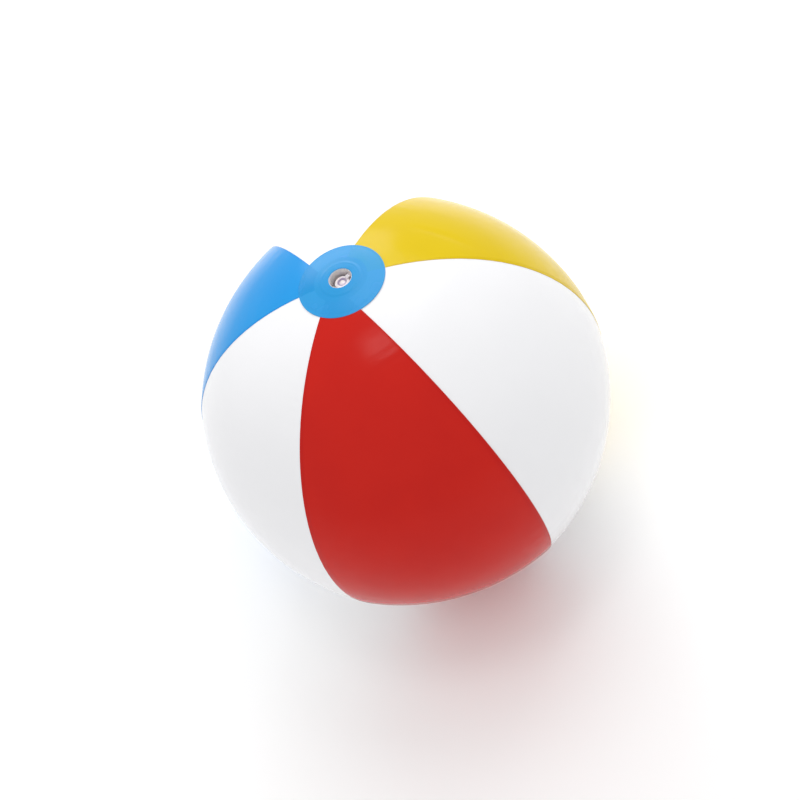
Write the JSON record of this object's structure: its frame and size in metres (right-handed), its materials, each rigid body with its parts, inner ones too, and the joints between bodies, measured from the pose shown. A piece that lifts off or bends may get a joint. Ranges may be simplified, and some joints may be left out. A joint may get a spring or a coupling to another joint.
{
  "type": "inflatable beach ball",
  "caption": "Round inflatable ball of soft film panels in alternating colours, with pole caps and a push-in valve with a tethered plug.",
  "frame": {"origin": "middle of the inflated ball", "axes": "+Z along the valve's axis, out of the ball; the middle of the red gore faces -Y"},
  "size_m": [0.3259, 0.3222, 0.3202],
  "materials": {
    "red_film": "glossy soft PVC film, red, lightly see-through",
    "white_film": "glossy soft PVC film, white, lightly see-through",
    "yellow_film": "glossy soft PVC film, yellow, lightly see-through",
    "blue_film": "glossy soft PVC film, sky blue, lightly see-through",
    "cap_film": "glossy soft PVC sheet, sky blue, welded",
    "clear_vinyl": "clear moulded soft PVC"
  },
  "bodies": {
    "skin": {"gore_red": "red_film", "gore_white_right": "white_film", "gore_yellow": "yellow_film", "gore_white_top": "white_film", "gore_blue": "blue_film", "gore_white_left": "white_film", "pole_cap_valve_end": "cap_film", "pole_cap_base": "cap_film", "valve_flange": "clear_vinyl", "valve_skirt": "clear_vinyl"},
    "stem": {"valve_stem": "clear_vinyl"},
    "strap": {"plug_strap": "clear_vinyl"},
    "plug": {"valve_plug": "clear_vinyl"},
    "flap": {"check_flap": "clear_vinyl"}
  },
  "joints": [
    {"name": "valve_pull_out", "type": "slide", "parent": "skin", "child": "stem", "axis": [0, 0, 1], "range_m": [0, 0.02], "deforming": ["valve_skirt"]},
    {"name": "strap_lift", "type": "slide", "parent": "stem", "child": "strap", "axis": [0, 0, 1], "range_m": [0, 0.006], "deforming": ["plug_strap"]},
    {"name": "plug_swing", "type": "hinge", "parent": "strap", "child": "plug", "pos_m": [0.00572, 0.0033, 0.1547], "axis": [-0.5, 0.866, 0], "range_deg": [0, 150]},
    {"name": "flap_swing", "type": "hinge", "parent": "stem", "child": "flap", "pos_m": [-0.0046, 0, 0.1376], "axis": [0, 1, 0], "range_deg": [0, 60], "stiffness_Nm_per_rad": 0.0001, "springref_deg": -17.19}
  ],
  "couplings": [
    {"joint": "plug_swing", "follows": "strap_lift", "rad_per_m": 436.33}
  ]
}
